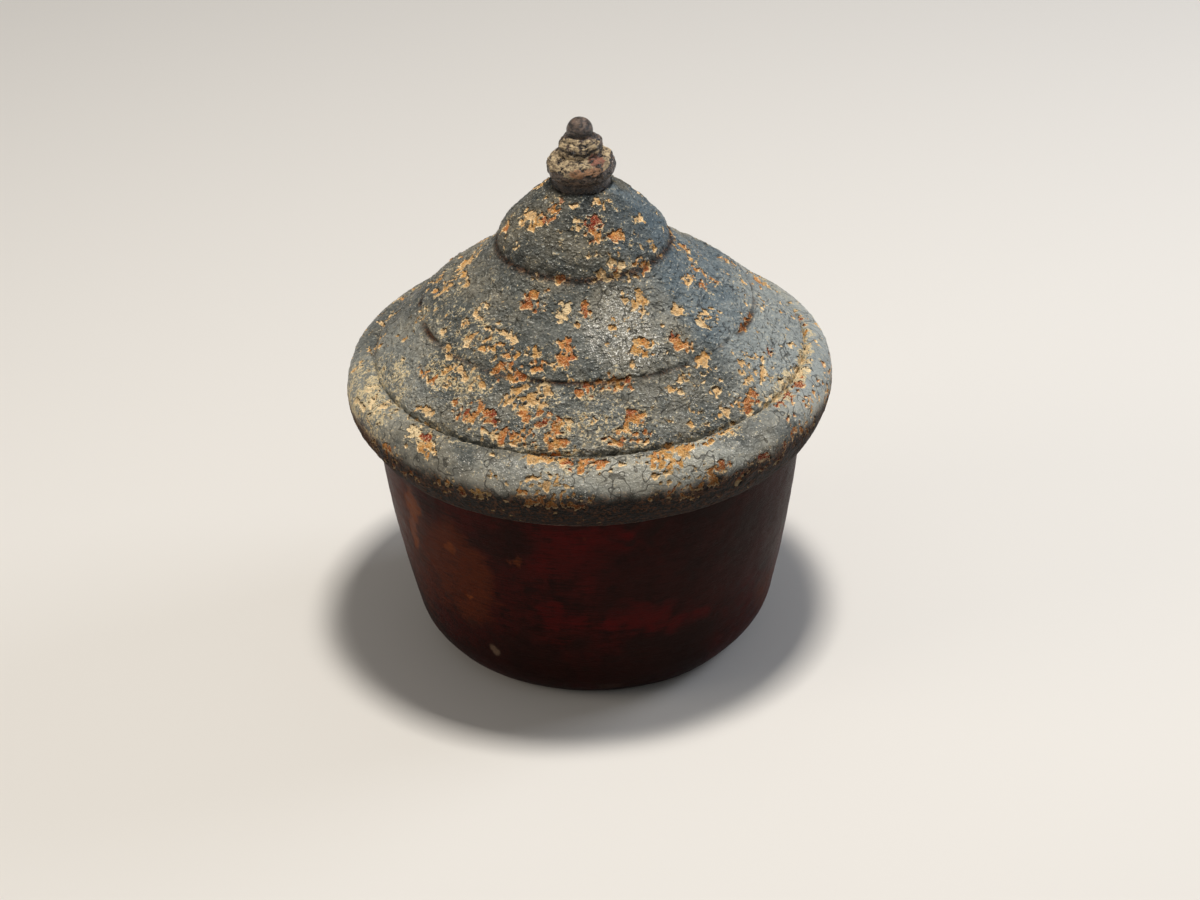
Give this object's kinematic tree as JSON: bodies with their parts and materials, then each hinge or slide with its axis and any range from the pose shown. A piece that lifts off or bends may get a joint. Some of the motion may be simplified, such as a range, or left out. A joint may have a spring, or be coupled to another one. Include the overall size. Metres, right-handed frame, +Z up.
{
  "type": "lidded powder pot",
  "caption": "Round turned wooden pot for coloured powder, with a stepped domed lid that lifts off by a knobbed finial.",
  "frame": {"origin": "centre of the flat base's underside, which rests on the table", "axes": "+Z up along the turning axis; the piece is round, so +X and +Y are free"},
  "size_m": [0.13, 0.13, 0.1509],
  "materials": {
    "pot_lacquer": "worn oxblood lacquer on turned wood, satin",
    "lid_paint": "thick aged grey paint with chips down to an ochre ground, matt to satin",
    "finial_wood": "dark turned wood under cream and ochre crust"
  },
  "bodies": {
    "pot": {"pot": "pot_lacquer"},
    "lid": {"lid": "lid_paint", "finial": "finial_wood"}
  },
  "joints": [
    {"name": "lid_lift", "type": "slide", "parent": "pot", "child": "lid", "axis": [0, 0, 1], "range_m": [0, 0.08]}
  ]
}
